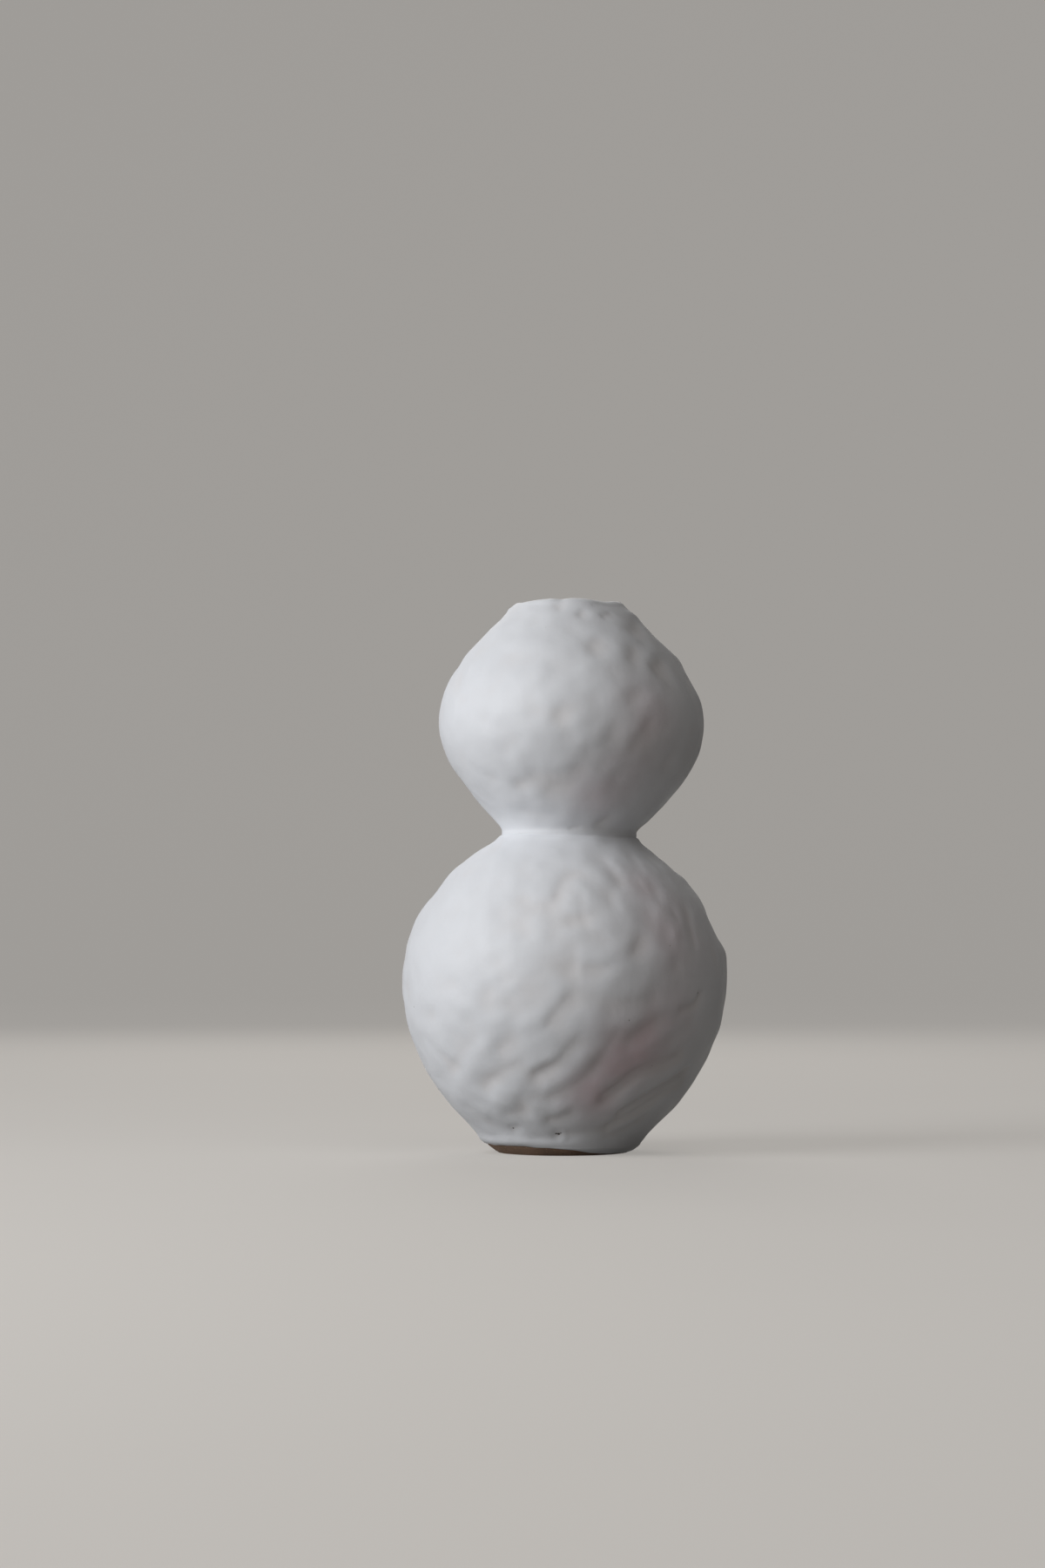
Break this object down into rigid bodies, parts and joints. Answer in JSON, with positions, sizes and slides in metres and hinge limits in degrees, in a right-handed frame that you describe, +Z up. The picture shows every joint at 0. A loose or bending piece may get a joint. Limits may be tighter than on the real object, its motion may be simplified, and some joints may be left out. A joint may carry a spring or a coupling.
{
  "type": "gourd vase",
  "caption": "Hand-built gourd vase: a large round belly and a smaller bulb above a tight waist, narrow mouth, bare clay foot, matte white glaze inside and out.",
  "frame": {"origin": "centre of the round resting face of the foot", "axes": "+Z up through the foot towards the mouth; +X to the right and +Y away from the viewer in the reference view"},
  "size_m": [0.1676, 0.1672, 0.285],
  "materials": {
    "foot_clay": "bare brown stoneware, dry and slightly gritty",
    "wall_clay": "fired brown stoneware under the glaze",
    "outer_glaze": "matte white glaze, satin-smooth over finger dents",
    "inner_glaze": "white liner glaze, a little glossier than the outside"
  },
  "bodies": {
    "root": {"foot_slab": "foot_clay", "lower_bowl": "wall_clay", "lower_belly": "wall_clay", "lower_shoulder": "wall_clay", "waist_collar": "wall_clay", "upper_bowl": "wall_clay", "upper_belly": "wall_clay", "upper_shoulder": "wall_clay", "rim_coil": "wall_clay", "outer_glaze": "outer_glaze", "inner_glaze": "inner_glaze"}
  },
  "joints": []
}
